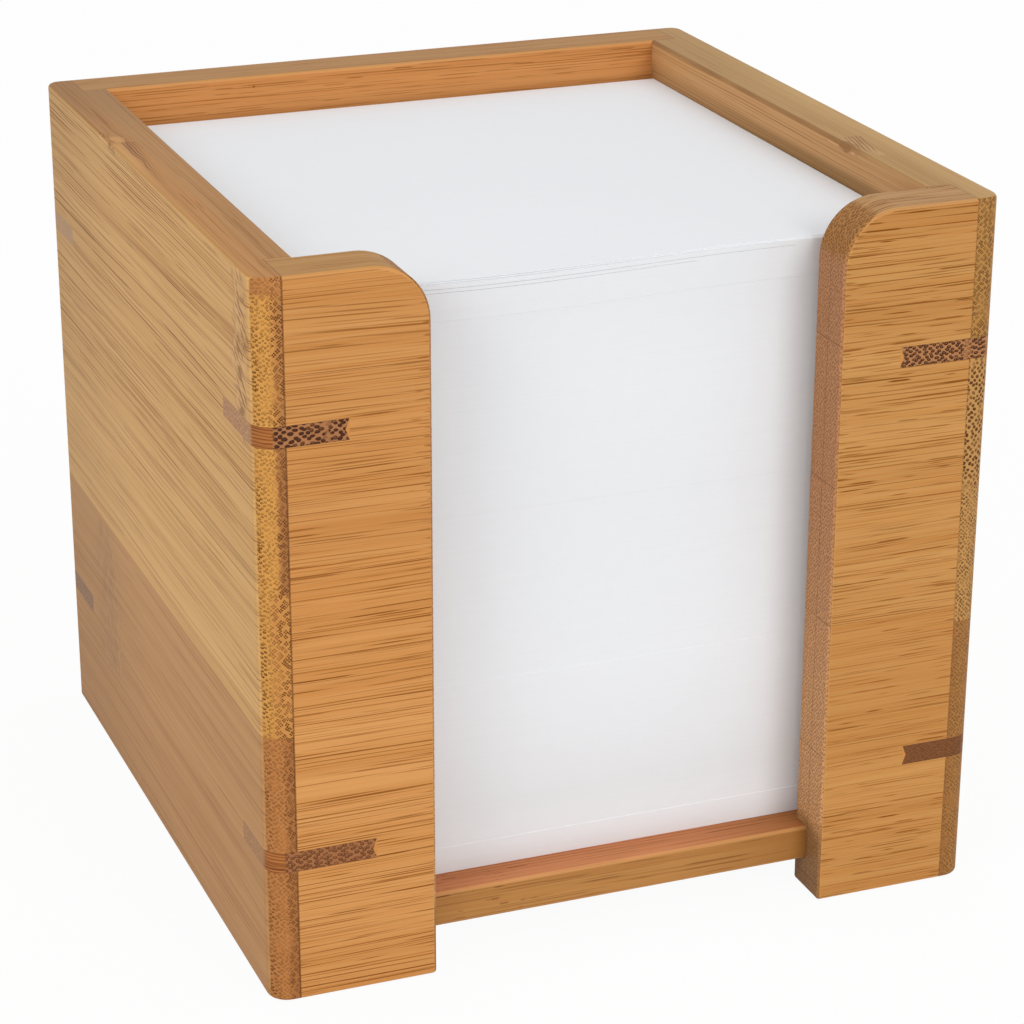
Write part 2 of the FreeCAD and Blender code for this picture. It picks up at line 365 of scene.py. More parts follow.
    # end cut: small close dots towards the outer wall of the culm, and inside it larger bundles of
    # four dark lobes round a pale core
    a, b = split(tree, point)[:2]
    turned = join(tree, calc(tree, "ADD", a, b), minus(tree, a, b), 0.0)
    warp = addNode(tree, "TexNoise", {"Vector": turned, "Scale": 0.4, "Detail": 1.0}).outputs["Color"]
    turned = calcVector(tree, "MULTIPLY_ADD", warp, (0.8, 0.8, 0.0), turned)
    turned = addNode(tree, "VectorMath", {"Vector": turned, "Scale": given["Dot Scale"]},
                     operation="SCALE").outputs[0]
    fine = stretch(tree, turned, 1.5, 1.5, 1.0)
    cell = cells(tree, fine, 0.5, True)
    core = calcVector(tree, "SUBTRACT", fine, calcVector(tree, "ADD", cell["Position"], (0.05, 0.08, 0)))
    small = step(tree, cell["Distance"], given["Dot Size"], times(tree, given["Dot Size"], 0.68))
    small = times(tree, small, step(tree, calcVector(tree, "LENGTH", core), 0.08, 0.22, given["Core"], 1.0))
    small = times(tree, small, step(tree, split(tree, cell["Color"])[0], 0.0, 0.4, 0.75, 1.0))
    wide = stretch(tree, turned, 0.96, 0.96, 1.0)
    cell = cells(tree, wide, 0.6, True)
    lobe = calcVector(tree, "ABSOLUTE", calcVector(tree, "SUBTRACT", wide, cell["Position"]))
    lobe = calcVector(tree, "DISTANCE", lobe, (0.19, 0.19, 0))
    large = step(tree, lobe, given["Lobe Size"], times(tree, given["Lobe Size"], 0.6))
    wall = calc(tree, "ADD", inPly, given["Wall Shift"])
    dots = blendValue(tree, step(tree, wall, 0.60, 0.68), small, large)
    dots = times(tree, dots, given["Dot Amount"], clamp=True)
    endTone = sway(tree, bands, 1.2, step(tree, wall, 0.45, 0.85), clamp=True)
    end = blend(tree, endTone, given["End Pale"], given["End Deep"])
    end = blend(tree, dots, end, given["Dot"])

    wood = blend(tree, given["End Cut"], long, end)
    wood = dim(tree, wood, sway(tree, fibres, 0.3, 1.0))
    dark = blendValue(tree, given["End Cut"], streaks, dots)
    feed(tree, made["Color"], wood)
    feed(tree, made["Dark"], dark)
    feed(tree, made["Height"], timesPlus(tree, dark, -0.6, times(tree, fibres, 0.6)))

    def glue(place, width):
        # 1 on the glue line between two strips or plies
        near = calc(tree, "MINIMUM", place, minus(tree, 1.0, place))
        return step(tree, times(tree, near, width), 0.14, 0.03)

    betweenPlies = times(tree, glue(inPly, given["Ply Width"]), 0.8)
    feed(tree, made["Glue"], calc(tree, "MAXIMUM", glue(inStrip, given["Strip Width"]), betweenPlies))
    return group


woodGroup = makeWoodGroup()


def endCut(tree, facing, grain):
    # 1 where the surface cuts across the grain
    share = absolute(tree, calcVector(tree, "DOT_PRODUCT", facing, grain))
    return step(tree, share, 0.34, 0.46)


def edgeHighlight(tree, facing):
    # 1 on the eased edges along the front and back faces, where a highlight is painted
    x, y, z = split(tree, facing)
    other = calc(tree, "MAXIMUM", absolute(tree, x), absolute(tree, z))
    return step(tree, times(tree, other, absolute(tree, y)), 0.12, 0.42)


def finishWood(tree, shader, color, wood, values):
    feed(tree, shader.inputs["Base Color"], color)
    feed(tree, shader.inputs["Roughness"], timesPlus(tree, wood["Dark"], 0.12, values["roughness"]))
    bump = addNode(tree, "Bump", {"Strength": values["bump"], "Distance": 0.05 * mm,
                                  "Height": wood["Height"]})
    feed(tree, shader.inputs["Normal"], bump.outputs[0])
    shader.inputs["Specular IOR Level"].default_value = values["shine"]


def line(tree, value, place, width):
    # 1 on a thin line where value is place
    return step(tree, absolute(tree, minus(tree, value, place)), width, width * 0.3)


def ruled(tree, place):
    # 1 on lines that lie one unit apart
    return step(tree, absolute(tree, minus(tree, calc(tree, "FRACT", place), 0.5)), 0.30, 0.14)


def band(tree, value, places, levels):
    # the level between each two of the given places, with a short blend at each place
    result = levels[0]
    for place, level in zip(places, levels[1:]):
        result = blendValue(tree, step(tree, value, place - 0.06, place + 0.06), result, level)
    return result


sideWood = {
    "roughness": 0.5, "shine": 0.1, "bump": 0.35,
    "pale": tint(229, 181, 115), "deep": tint(205, 154, 89), "streak": tint(132, 82, 40),
    "paleDark": tint(204, 154, 97), "deepDark": tint(186, 134, 79),
    "outerBackShade": 0.86,  # painted shade: the outer face's brightness at its back end, against that in front
    "endPale": tint(208, 150, 76), "endDeep": tint(196, 136, 72), "dot": tint(98, 54, 20),
    "endPaleDark": tint(183, 122, 68), "endDeepDark": tint(167, 108, 58),
    "topPale": tint(189, 138, 80), "topDeep": tint(165, 111, 56),  # the outer ply, from above
    "topInnerPale": tint(179, 132, 80), "topInnerDeep": tint(155, 109, 61),
    "topBackShade": tint(143, 105, 63),  # painted shade: the back end of the top, darker and browner
    "seam": tint(92, 52, 28),
    "jointDark": 0.6,  # how dark the joint is on the end cut
    "rimDark": 0.3,  # and from above
    "streakAmounts": (0.7, 0.8, 1.0, 1.3),  # the browner strips first, then strip by strip upwards
    "dashOften": 3.0,
    "innerPaintedLight": (1.0, 1.0),  # painted light: the inner face's brightness at the back and in front
    "footShade": 0.0,  # how much of this browner colour the inner face has below the rim: painted shade just above the paper
    "footShadeColor": tint(124, 90, 50),
    "darkUpTo": 40.0,  # mm: the strips below this level are the browner, steamed ones
    "walls": (-0.05, 0.3, 0.02, 0.06),  # in the same order: more for larger bundles
    "dotAmounts": (0.85, 0.95, 0.9, 1.0),
    "dotScales": (1.0, 1.0, 1.0, 1.0),
    "core": 0.3,  # how dark the dots are in the middle
    "dotPlies": (1.0, 0.65, 1.0),  # the amount of dots in the ply's outer, middle and inner layer
    "innerTones": (0.45, 0.0, 0.9, 0.5),  # how much browner each strip's end cut is beside the joint
    "endInner": tint(158, 104, 60),
    "crown": tint(184, 124, 70),  # the end cut just below the top edge
    "crownFrom": 101.0,
    "knot": (-51.9, 17.2, 1.3, 2.8),  # middle across and along the top edge, half width, half length
    "knotHeart": tint(204, 154, 92), "knotDark": tint(112, 66, 28), "knotAmount": 0.85,
    # the dark lines beside the knot: slant, middle, half width, from, up to, taper
    "fan": (0.0, 1.1, 1.25, 1.4, 30.0, 8.0),
    "pitch": 0.46,  # mm from one of these lines to the next
    # single dark lines: middle, half width, from, up to
    "marks": [(-1.2, 0.15, -6.0, -1.6), (-1.6, 0.18, 0.2, 5.4)],
    "streakEnd": 30.0,  # mm ahead of the knot, where the pale streak ends
    "brow": False,  # a dark line along the inner edge
    # culm nodes: middle along the panel, half width, from, up to, how dark the strokes are,
    # where the ridge runs beside the middle, how dark the shade round them is
    "nodes": [(-49.0, 3.4, 79.0, 104.5, 0.85, 1.7, 0.1), (30.0, 8.0, 13.0, 40.0, 0.3, -5.0, 0.45)],
    "nodeDark": tint(144, 98, 56), "nodePale": tint(214, 168, 118), "nodeShade": tint(168, 124, 82),
    "nodeRidge": tint(218, 176, 128),
}

rightSideWood = {
    **sideWood,
    "pale": tint(209, 162, 111), "deep": tint(186, 140, 90),
    "endPale": tint(188, 140, 81), "endDeep": tint(174, 126, 66), "dot": tint(90, 54, 26),
    "endPaleDark": tint(165, 116, 62), "endDeepDark": tint(152, 105, 53),
    "topPale": tint(190, 152, 98), "topDeep": tint(170, 132, 80),
    "topInnerPale": tint(190, 150, 96), "topInnerDeep": tint(168, 128, 76),
    "topBackShade": tint(164, 127, 78),
    "jointDark": 0.15, "rimDark": 0.2,
    "darkUpTo": 41.4,
    "walls": (-0.3, -0.4, -0.4, 0.6),
    "dotAmounts": (0.6, 0.8, 1.1, 0.9), "core": 0.8,
    "streakAmounts": (0.65, 0.8, 0.8, 0.8),
    "dotScales": (1.0, 1.0, 0.70, 1.2),
    "dotPlies": (0.35, 1.0, 1.0),
    "innerTones": (0.3, 0.0, 0.0, 0.0),
    "innerPaintedLight": (1.2, 1.12), "footShade": 0.75,
    "crownFrom": 110.0, "outerBackShade": 1.0,
    "knot": (47.0, -21.5, 1.3, 3.0), "knotHeart": tint(196, 152, 102), "knotAmount": 0.6,
    "fan": (0.23, -0.8, 1.6, -2.6, 8.0, 0.8), "pitch": 0.62, "marks": [], "streakEnd": 9.0,
    "brow": True,
    "nodes": [(-6.0, 3.0, 41.4, 62.1, 0.4, 1.5, 0.1)],
}


def ovalPatch(tree, first, second, wide, tall):
    # 1 at the middle of an oval patch, easing to 0 at its rim
    squares = [calc(tree, "POWER", calc(tree, "DIVIDE", off, reach), 2.0)
               for off, reach in ((first, wide), (second, tall))]
    return step(tree, calc(tree, "SQRT", calc(tree, "ADD", *squares)), 1.0, 0.0)


def paintKnot(tree, color, x, y, z, onTop, values):
    # a small branch knot in the top edge: a ragged pale heart, and dark lines that start beside it
    knotX, knotY, wide, long = values["knot"]
    slant, middle, half, start, end, taper = values["fan"]
    inwards = 1.0 if knotX < 0 else -1.0
    aside = times(tree, minus(tree, x, knotX), inwards)
    ahead = minus(tree, knotY, y)
    ragged = noise(tree, join(tree, times(tree, aside, 1.2), times(tree, ahead, 0.7), 8.0), 2.0)
    ragged = minus(tree, ragged, 0.5)
    heart = step(tree, ovalPatch(tree, timesPlus(tree, ragged, 3.0, aside), ahead, wide, long), 0.0, 0.6)
    # a plain pale streak runs on ahead of the heart
    plain = times(tree, step(tree, ahead, 1.0, 3.0), step(tree, ahead, values["streakEnd"], 8.0))
    plain = times(tree, step(tree, absolute(tree, calc(tree, "ADD", aside, 0.7)), 0.8, 0.4), plain)
    pale = times(tree, calc(tree, "MAXIMUM", heart, plain), 0.55)
    color = paint(tree, color, pale, onTop, values["knotHeart"])
    wobble = noise(tree, join(tree, times(tree, aside, 0.15), times(tree, ahead, 0.2), 3.0), 0.0)
    place = timesPlus(tree, ahead, -slant, calc(tree, "ADD", aside, minus(tree, wobble, 0.5)))
    dark = ruled(tree, calc(tree, "DIVIDE", place, values["pitch"]))
    dark = times(tree, dark, step(tree, ahead, start, start + 0.8))
    dark = times(tree, dark, step(tree, timesPlus(tree, aside, taper, ahead), end, end * 0.4))
    dark = times(tree, dark, step(tree, absolute(tree, minus(tree, place, middle)), half, half - 0.2))
    for middle, half, start, end in values["marks"]:
        mark = line(tree, timesPlus(tree, ragged, 1.2, aside), middle, half)
        mark = times(tree, mark, step(tree, ahead, start, start + 0.8))
        mark = times(tree, mark, step(tree, ahead, end, end - 0.8, 0.0, 0.6))
        dark = calc(tree, "MAXIMUM", dark, mark)
    dark = times(tree, dark, onTop)
    if values["brow"]:
        # a dark line along the inner edge, with a blotch beside the knot
        edge = minus(tree, absolute(tree, x), z)
        broken = noise(tree, join(tree, 4.0, times(tree, y, 0.07), 0.0), 1.0)
        brow = line(tree, edge, wellFace - topFace + 0.35, 0.34)
        brow = times(tree, brow, step(tree, broken, 0.3, 0.6, 0.55, 0.9))
        brow = times(tree, brow, step(tree, ahead, 12.0, 0.0, 0.2, 1.0))
        spot = calc(tree, "ADD", edge, timesPlus(tree, ragged, 0.8, topFace - wellFace - 0.5))
        spot = ovalPatch(tree, spot, minus(tree, ahead, 1.2), 0.9, 3.0)
        dark = calc(tree, "MAXIMUM", dark, calc(tree, "MAXIMUM", brow, step(tree, spot, 0.0, 0.5)))
    return paint(tree, color, dark, values["knotAmount"], values["knotDark"])


def paintNodes(tree, color, place, outside, values):
    # culm nodes: a feathery band across the grain, with strokes that lean, and a faint ridge
    x, y, z = split(tree, place)
    slanted = join(tree, timesPlus(tree, y, 0.30, times(tree, z, 0.17)), 0.0,
                   timesPlus(tree, y, -0.75, times(tree, z, 1.3)))
    feather = noise(tree, slanted, 1.0)
    ragged = sway(tree, noise(tree, stretch(tree, place, 0.1, 0.1, 0.24), 1.0), 8.0, y)
    for middle, wide, low, high, strength, ridgeAt, shade in values["nodes"]:
        off = minus(tree, ragged, middle)
        inside = times(tree, step(tree, z, low, low + 3.0), step(tree, z, high, high - 2.5))
        inside = times(tree, inside, outside)
        patch = times(tree, step(tree, absolute(tree, off), wide, wide * 0.35), inside)
        soft = times(tree, step(tree, absolute(tree, off), wide * 1.3, 0.0), inside)
        color = paint(tree, color, soft, shade, values["nodeShade"])
        light = times(tree, patch, step(tree, feather, 0.54, 0.42))
        color = paint(tree, color, light, strength * 0.35, values["nodePale"])
        dark = times(tree, patch, step(tree, feather, 0.48, 0.60))
        color = paint(tree, color, dark, strength, values["nodeDark"])
        ridge = times(tree, line(tree, off, ridgeAt, 0.6), inside)
        color = paint(tree, color, ridge, strength * 0.35, values["nodeRidge"])
    return color


def makeSideWood(name, values, seed):
    material, tree, shader = newMaterial(name)
    place, facing = placeInMm(tree)
    x, y, z = split(tree, place)
    knotX, knotY, knotWide, knotLong = values["knot"]
    fromKnot = minus(tree, x, knotX)
    onTop = step(tree, z, topFace - 1.2, topFace - 0.6)
    knot = ovalPatch(tree, fromKnot, minus(tree, y, knotY), knotWide * 2.4, knotLong * 2.2)
    away = absolute(tree, x)
    through = minus(tree, sideFace, away)
    # the grain parts round the knot
    bend = times(tree, fromKnot, times(tree, knot, onTop))
    bent = timesPlus(tree, bend, -0.75 if knotX < 0 else 0.75, through)
    darkUpTo = values["darkUpTo"]
    dark = step(tree, z, darkUpTo + 0.05, darkUpTo - 0.05)
    dark = times(tree, dark, step(tree, away, jointAt - 0.2, jointAt + 0.1))
    up = step(tree, split(tree, facing)[2], 0.35, 0.85)
    # painted shade towards the back end of the top
    toBackShade = times(tree, step(tree, y, 0.0, 50.0), 0.7)
    innerPly = step(tree, away, jointAt + 0.2, jointAt - 0.2)
    seams = [darkUpTo + stripWidth * number for number in range(3)]
    cut = endCut(tree, facing, (0, 1, 0))
    inner = times(tree, step(tree, through, 2.4, 3.2), band(tree, z, seams, values["innerTones"]))
    uneven = noise(tree, stretch(tree, place, 0.5, 0.0, 0.28), 1.0)
    crownFrom = values["crownFrom"]
    crown = step(tree, timesPlus(tree, uneven, 1.6, z), crownFrom + 0.6, crownFrom + 1.8)

    def tones(kind):
        # the colour of one kind, pale or deep, along the grain and on the end cut
        long = blend(tree, dark, values[kind.lower()], values[kind.lower() + "Dark"])
        top = blend(tree, innerPly, values["top" + kind], values["topInner" + kind])
        end = blend(tree, dark, values["end" + kind], values["end" + kind + "Dark"])
        end = blend(tree, inner, end, values["endInner"])
        return (blend(tree, up, long, blend(tree, toBackShade, top, values["topBackShade"])),
                blend(tree, crown, end, values["crown"]))

    pale, endPale = tones("Pale")
    deep, endDeep = tones("Deep")
    # the bundles thin out in the middle of the ply, below the top edge and here and there
    plies = band(tree, timesPlus(tree, uneven, 0.8, through), [1.3, 2.9], values["dotPlies"])
    amount = times(tree, plies, band(tree, z, seams, values["dotAmounts"]))
    amount = times(tree, amount, step(tree, uneven, 0.30, 0.62, 0.55, 1.1))
    amount = times(tree, amount, timesPlus(tree, crown, -0.25, 1.0))
    wood = useGroup(tree, woodGroup, {
        "Point": join(tree, z, bent, y), "Row": blendValue(tree, up, z, bent), "Seed": seed,
        "End Cut": cut, "Strip Shift": darkUpTo - stripWidth,
        "Wall Shift": band(tree, z, seams, values["walls"]),
        "Streak Reach": 0.022, "Streak Amount": band(tree, z, seams, values["streakAmounts"]),
        "Hair Amount": blendValue(tree, up, 1.0, 0.55),
        "Dash Often": values["dashOften"], "Dash Amount": 0.55,
        "Pale": pale, "Deep": deep, "Streak": values["streak"],
        "End Pale": endPale, "End Deep": endDeep,
        "Dot": values["dot"], "Dot Amount": amount, "Dot Scale": band(tree, z, seams, values["dotScales"]),
        "Core": values["core"]})
    color = paint(tree, wood["Color"], wood["Glue"], 0.15, values["seam"])
    color = paintKnot(tree, color, x, y, z, onTop, values)
    color = paintNodes(tree, color, place, step(tree, away, sideFace - 0.3, sideFace - 0.05), values)
    ends = absolute(tree, y)
    joint = times(tree, line(tree, away, jointAt, 0.24), step(tree, ends, wellEnd - 0.05, wellEnd + 0.05))
    corner = times(tree, line(tree, ends, wellEnd, 0.2), step(tree, away, jointAt + 0.1, jointAt))
    joint = calc(tree, "MAXIMUM", joint, corner)
    jointDark = blendValue(tree, cut, values["rimDark"], values["jointDark"])
    color = paint(tree, color, joint, jointDark, values["seam"])
    # the inner face
    inward = step(tree, away, wellFace + 0.1, wellFace + 0.02)
    # painted shade on the inner face below the rim, just above the paper, stronger towards the front
    foot = times(tree, times(tree, step(tree, z, 100.7, 99.3), inward), values["footShade"])
    foot = times(tree, foot, step(tree, y, 40.0, -20.0, 0.5, 1.0))
    color = blend(tree, foot, color, values["footShadeColor"])
    # painted light: the inner face made brighter, more at the back than in front
    innerPaintedLight = step(tree, y, 20.0, -40.0, *values["innerPaintedLight"])
    # painted shade: the outer face darker towards its back end
    outerPaintedShade = blendValue(tree, up, step(tree, y, 0.0, 55.0, 1.0, values["outerBackShade"]), 1.0)
    color = dim(tree, color, blendValue(tree, inward, outerPaintedShade, innerPaintedLight))
    finishWood(tree, shader, color, wood, values)
    return material


boardWood = {
    "roughness": 0.5, "shine": 0.1, "bump": 0.4,
    "pale": tint(216, 160, 93), "deep": tint(194, 132, 67), "streak": tint(136, 77, 14),
    "endPale": tint(204, 154, 105), "endDeep": tint(190, 140, 93), "dot": tint(112, 70, 42),
    "endUpPale": tint(186, 132, 90), "endUpDeep": tint(173, 119, 77),  # the end cut higher up
    "roundPale": tint(172, 120, 66), "roundDeep": tint(152, 104, 54), "roundDot": tint(98, 60, 28),
    "topPale": tint(198, 152, 96), "topDeep": tint(174, 126, 70),
    # the painted highlight along the eased edges
    "edge": tint(232, 168, 104),
    "foot": tint(122, 88, 48),  # the end cut low down, beside the base plate
    "streakAmounts": (1.4, 1.4, 1.3, 1.1, 0.9),  # strip by strip from the bottom
    "tones": (1.0, 1.0, 1.0, 0.96, 0.93),  # and how light each one is
    "dashOften": 1.6, "dashAmount": 0.8,
    "jointDark": 0.6,
    "reach": 0.06,  # small for long streaks
    "stubs": 0.6,  # short dark stubs at the gap's edge
    "spot": (0.0, 0.0),  # one small dark eye: across and up, or 0 for none
    "seam": tint(92, 52, 28),
}

leftPostWood = {
    **boardWood,
    "pale": tint(230, 168, 101), "deep": tint(204, 138, 72), "reach": 0.04,
    "topPale": tint(193, 147, 88), "topDeep": tint(169, 121, 63),
}

rightPostWood = {
    **boardWood,
    "topPale": tint(192, 150, 100), "topDeep": tint(170, 126, 76), "jointDark": 0.2,
    "streakAmounts": (1.0, 0.9, 1.1, 1.2, 1.7), "tones": (1.0, 1.0, 0.975, 0.96, 0.94),
    "dashOften": 2.3, "dashAmount": 1.1,
}

backWood = {
    **boardWood,
    "pale": tint(220, 153, 90), "deep": tint(198, 129, 68), "dashOften": 2.4,
    "streakAmounts": (0.7, 0.7, 0.7, 0.8, 1.1), "tones": (1.0, 1.0, 1.0, 1.0, 1.0),
    "dashAmount": 0.6, "stubs": 0.0,
    "topPale": tint(176, 132, 80), "topDeep": tint(155, 108, 59), "jointDark": 0.3,
    "spot": (-22.3, 102.3),
}


def makeBoardWood(name, values, seed, stripShift, front):
    material, tree, shader = newMaterial(name)
    place, facing = placeInMm(tree)
    x, y, z = split(tree, place)
    through = minus(tree, y, frontFace if front else wellEnd)
    rise = split(tree, facing)[2]
    up = step(tree, rise, 0.35, 0.85)
    rounded = step(tree, rise, 0.02, 0.3)
    cut = endCut(tree, facing, (1, 0, 0))
    seams = [stripShift + stripWidth * number for number in range(1, 5)]
    foot = timesPlus(tree, noise(tree, stretch(tree, place, 0.4, 0.4, 0.3)), 5.0, z)
    foot = times(tree, step(tree, foot, 15.0, 12.0), 0.75)
    high = step(tree, z, 15.0, 70.0)

    def endTone(low, above, bend):
        straight = blend(tree, high, values[low], values[above])
        return blend(tree, foot, blend(tree, rounded, straight, values[bend]), values["foot"])

    wood = useGroup(tree, woodGroup, {
        "Point": join(tree, z, through, x), "Row": blendValue(tree, up, z, through), "Seed": seed,
        "End Cut": cut, "Strip Shift": stripShift, "Wall Shift": -0.4,
        "Streak Reach": values["reach"], "Streak Amount": band(tree, z, seams, values["streakAmounts"]),
        "Hair Amount": 0.85, "Dash Often": values["dashOften"], "Dash Amount": values["dashAmount"],
        "Pale": blend(tree, up, values["pale"], values["topPale"]),
        "Deep": blend(tree, up, values["deep"], values["topDeep"]),
        "Streak": values["streak"],
        "End Pale": endTone("endPale", "endUpPale", "roundPale"),
        "End Deep": endTone("endDeep", "endUpDeep", "roundDeep"),
        "Dot": blend(tree, rounded, values["dot"], values["roundDot"]),
        "Dot Amount": blendValue(tree, rounded, 0.7, 0.8)})
    color = paint(tree, wood["Color"], wood["Glue"], blendValue(tree, cut, 0.15, 0.5), values["seam"])
    color = dim(tree, color, band(tree, z, seams, values["tones"]))
    # painted highlight along the eased edges
    color = paint(tree, color, edgeHighlight(tree, facing), blendValue(tree, cut, 0.35, 0.1), values["edge"])
    if values["stubs"]:
        # where the saw left the gap's edge, the bundles show as short dark stubs
        fromGap = minus(tree, absolute(tree, x), gapEdge)
        luck = noise(tree, join(tree, times(tree, x, 0.2), seed, times(tree, z, 2.3)), 1.0)
        luck = timesPlus(tree, fromGap, -0.07, luck)
        stub = times(tree, step(tree, luck, 0.50, 0.58), step(tree, z, 58.0, 72.0))
        stub = times(tree, stub, minus(tree, 1.0, cut))
        stub = times(tree, stub, step(tree, y, frontFace + 1.0, frontFace + 0.4))
        color = paint(tree, color, stub, values["stubs"], values["streak"])
    spotX, spotZ = values["spot"]
    if spotZ:
        spot = ovalPatch(tree, minus(tree, x, spotX), minus(tree, z, spotZ), 0.34, 0.24)
        color = blend(tree, step(tree, spot, 0.0, 0.7), color, values["streak"])
    joint = line(tree, absolute(tree, x), jointAt, 0.16)
    color = paint(tree, color, joint, values["jointDark"], values["seam"])
    finishWood(tree, shader, color, wood, values)
    return material


plateWood = {
    "roughness": 0.5, "shine": 0.1, "bump": 0.4,
    "pale": tint(192, 139, 79), "deep": tint(169, 113, 60), "streak": tint(114, 64, 30),
    "topPale": tint(208, 136, 88), "topDeep": tint(176, 106, 66),
    "endPale": tint(176, 126, 94), "endDeep": tint(158, 108, 76), "dot": tint(122, 74, 48),
    # the painted highlight along the eased edges
    "edge": tint(220, 164, 104),
    "shade": tint(151, 99, 44),  # the browner end towards the right post
}


def makePlateWood(name, values, seed):
    material, tree, shader = newMaterial(name)
    place, facing = placeInMm(tree)
    x, y, z = split(tree, place)
    up = step(tree, split(tree, facing)[2], 0.35, 0.85)
    toRight = times(tree, step(tree, x, 8.0, 29.0), 0.55)
    pale, deep = [blend(tree, up, values[front], values[top])
                  for front, top in (("pale", "topPale"), ("deep", "topDeep"))]
    pale, deep = [blend(tree, toRight, color, values["shade"]) for color in (pale, deep)]
    wood = useGroup(tree, woodGroup, {
        "Point": join(tree, y, z, x), "Seed": seed, "End Cut": endCut(tree, facing, (1, 0, 0)),
        "Row": calc(tree, "ADD", y, z),
        "Strip Shift": 3.0, "Ply Shift": 4.0, "Ply Width": 8.0,
        "Streak Reach": 0.05, "Dash Often": step(tree, x, -10.0, -25.0, 1.4, 5.0),
        "Pale": pale, "Deep": deep, "Streak": values["streak"],
        "End Pale": values["endPale"], "End Deep": values["endDeep"],
        "Dot": values["dot"], "Dot Amount": 0.6})
    # painted highlight along the eased edges
    color = paint(tree, wood["Color"], edgeHighlight(tree, facing), 0.4, values["edge"])
    finishWood(tree, shader, color, wood, values)
    return material


keyWood = {
    "roughness": 0.5, "shine": 0.1, "bump": 0.4,
    "pale": tint(189, 121, 65), "deep": tint(169, 103, 52), "streak": tint(92, 44, 20),
    "endPale": tint(168, 114, 73), "endDeep": tint(146, 93, 57), "dot": tint(70, 38, 22),
    # on the faces that look sideways the end cut is painted lighter and greyer, with fainter dots: painted
    # sheen
    "sheenPale": tint(185, 138, 96), "sheenDeep": tint(173, 126, 84), "sheenDot": tint(144, 102, 70),
    "sheenDotAmount": 0.5,
    "outline": tint(96, 58, 34), "outlineDark": 1.0,
    "cutFrom": 0.42,  # smaller where the bundles show further round the corner
    "dotScale": 0.78, "dotSize": 0.50, "dotAmount": 1.1, "core": 0.8,
    "rules": 0.55,  # the dark lines on the long grain at the corner
    "pause": (0.0, 0.6),  # a paler gap between the bundles: how far out, or 0 for none, and half width
    "notch": 0.55,  # mm: how far the torn inner end is hollowed
    "notchFill": tint(200, 136, 72),
}
keyChanges = {  # what sets one key apart from the rest
    "front_left_upper_key": {"pause": (43.9, 0.5)},
    "front_right_upper_key": {
        "pale": tint(176, 124, 76), "deep": tint(160, 108, 64),
        "endPale": tint(174, 120, 76), "endDeep": tint(158, 104, 62),
        "pause": (49.0, 0.5), "dotScale": 0.92, "core": 0.45, "rules": 0.1, "cutFrom": 0.1},
    "front_left_lower_key": {
        "endPale": tint(160, 106, 66), "endDeep": tint(144, 92, 54), "dot": tint(92, 50, 26),
        "sheenPale": tint(173, 126, 82), "sheenDeep": tint(157, 112, 70),
        "dotScale": 0.80, "core": 0.2, "dotAmount": 0.85},
    "front_right_lower_key": {
        "pale": tint(146, 98, 56), "deep": tint(130, 84, 46),
        "endPale": tint(128, 81, 46), "endDeep": tint(114, 70, 38), "dot": tint(84, 50, 28),
        "dotScale": 1.3, "dotAmount": 0.5, "rules": 0.1, "cutFrom": 0.1},
    "back_left_upper_key": {
        "sheenPale": tint(178, 141, 104), "sheenDeep": tint(166, 130, 94), "sheenDot": tint(160, 122, 90),
        "sheenDotAmount": 0.3, "outlineDark": 0.0},
    "back_left_lower_key": {
        "sheenPale": tint(147, 111, 83), "sheenDeep": tint(132, 98, 70), "sheenDot": tint(122, 88, 62),
        "sheenDotAmount": 0.4, "outlineDark": 0.0},
}


